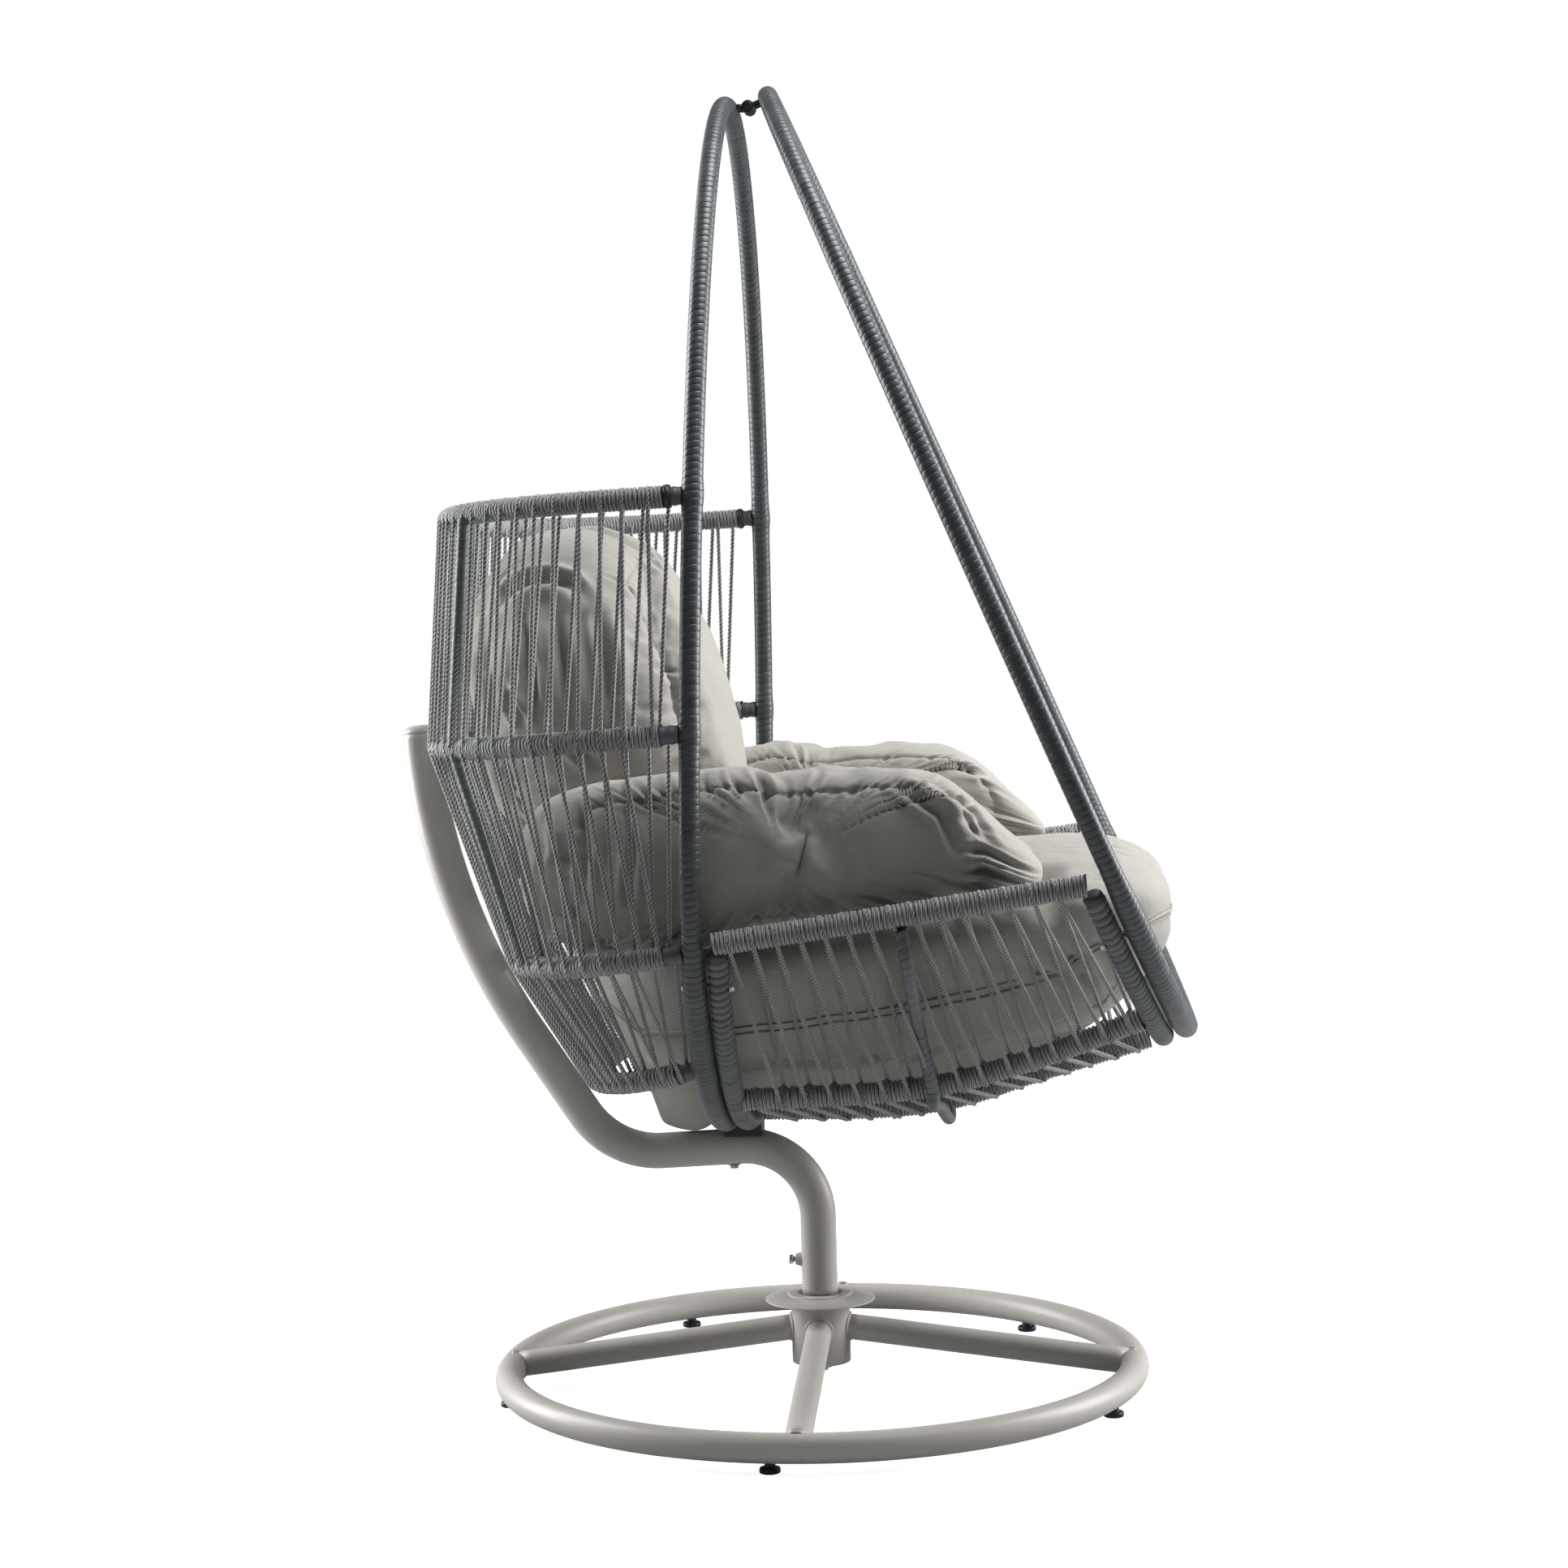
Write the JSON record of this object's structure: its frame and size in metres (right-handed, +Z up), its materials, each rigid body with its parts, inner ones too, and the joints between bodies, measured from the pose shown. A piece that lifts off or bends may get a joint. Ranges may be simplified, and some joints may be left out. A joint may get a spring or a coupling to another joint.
{
  "type": "garden chair",
  "caption": "Egg-shaped swivel lounge chair: two hinged wrapped hoops, a strung cord basket and thick cushions on a bent post over a ring base.",
  "frame": {"origin": "floor level, under the middle of the chair's outer box; the swivel axis stands 21 mm in front of it", "axes": "+Z up, the chair faces -Y, +X is towards the sitter's left"},
  "size_m": [1.1292, 1.2008, 1.9788],
  "materials": {
    "powder_coat": "satin powder coat",
    "hoop_wrap": "flat synthetic band wrapped round steel tube, satin",
    "cord": "twisted synthetic cord",
    "cushion": "matte woven outdoor fabric",
    "steel": "zinc plated",
    "black_steel": "black painted steel",
    "bearing_nylon": "plain nylon",
    "foot_plastic": "moulded, near black"
  },
  "bodies": {
    "base": {"base_ring": "powder_coat", "spoke_1": "powder_coat", "spoke_2": "powder_coat", "spoke_3": "powder_coat", "spoke_4": "powder_coat", "foot_1": "foot_plastic", "foot_2": "foot_plastic", "foot_3": "foot_plastic", "foot_4": "foot_plastic", "foot_5": "foot_plastic", "hub_tube": "powder_coat", "hub_knob": "foot_plastic", "lower_bearing": "bearing_nylon", "upper_bearing": "bearing_nylon", "cover_disc": "powder_coat"},
    "chair": {"swivel_spindle": "steel", "spindle_nut": "steel", "post_tube": "powder_coat", "post_cap": "powder_coat", "set_bolt": "steel", "upper_saddle": "steel", "upper_mount_bolt": "steel", "lower_saddle": "powder_coat", "lower_mount_bolt": "steel", "rear_hoop": "hoop_wrap", "rear_hinge_ears": "black_steel", "hinge_bolt": "black_steel", "rim_ring": "cord", "middle_ring": "cord", "lower_ring": "cord", "bottom_ring": "cord", "rib_1_left": "hoop_wrap", "rib_1_right": "hoop_wrap", "rib_2_left": "hoop_wrap", "rib_2_right": "hoop_wrap", "back_cords_1": "cord", "back_cords_2": "cord", "back_cords_3": "cord", "seat_rear_u": "hoop_wrap", "seat_front_u": "hoop_wrap", "seat_mid_u": "hoop_wrap", "top_rail_left": "cord", "top_rail_right": "cord", "bottom_rail_left": "cord", "bottom_rail_right": "cord", "centre_rail": "cord", "side_cords_left": "cord", "side_cords_right": "cord", "bottom_cords_left": "cord", "bottom_cords_right": "cord", "seat_bolt_rear_left": "steel", "seat_bolt_rear_right": "steel", "seat_bolt_front_left": "steel", "seat_bolt_front_right": "steel", "seat_cushion": "cushion", "arm_cushion_left": "cushion", "arm_cushion_right": "cushion", "back_cushion": "cushion"},
    "front_frame": {"front_hoop": "hoop_wrap", "front_hinge_barrel": "black_steel"}
  },
  "joints": [
    {"name": "swivel", "type": "hinge", "parent": "base", "child": "chair", "pos_m": [0, -0.021, 0.136], "axis": [0, 0, 1], "continuous": true},
    {"name": "front_hoop_fold", "type": "hinge", "parent": "chair", "child": "front_frame", "pos_m": [0, 0.0405, 1.9515], "axis": [-1, 0, 0], "range_deg": [0, 35]}
  ]
}
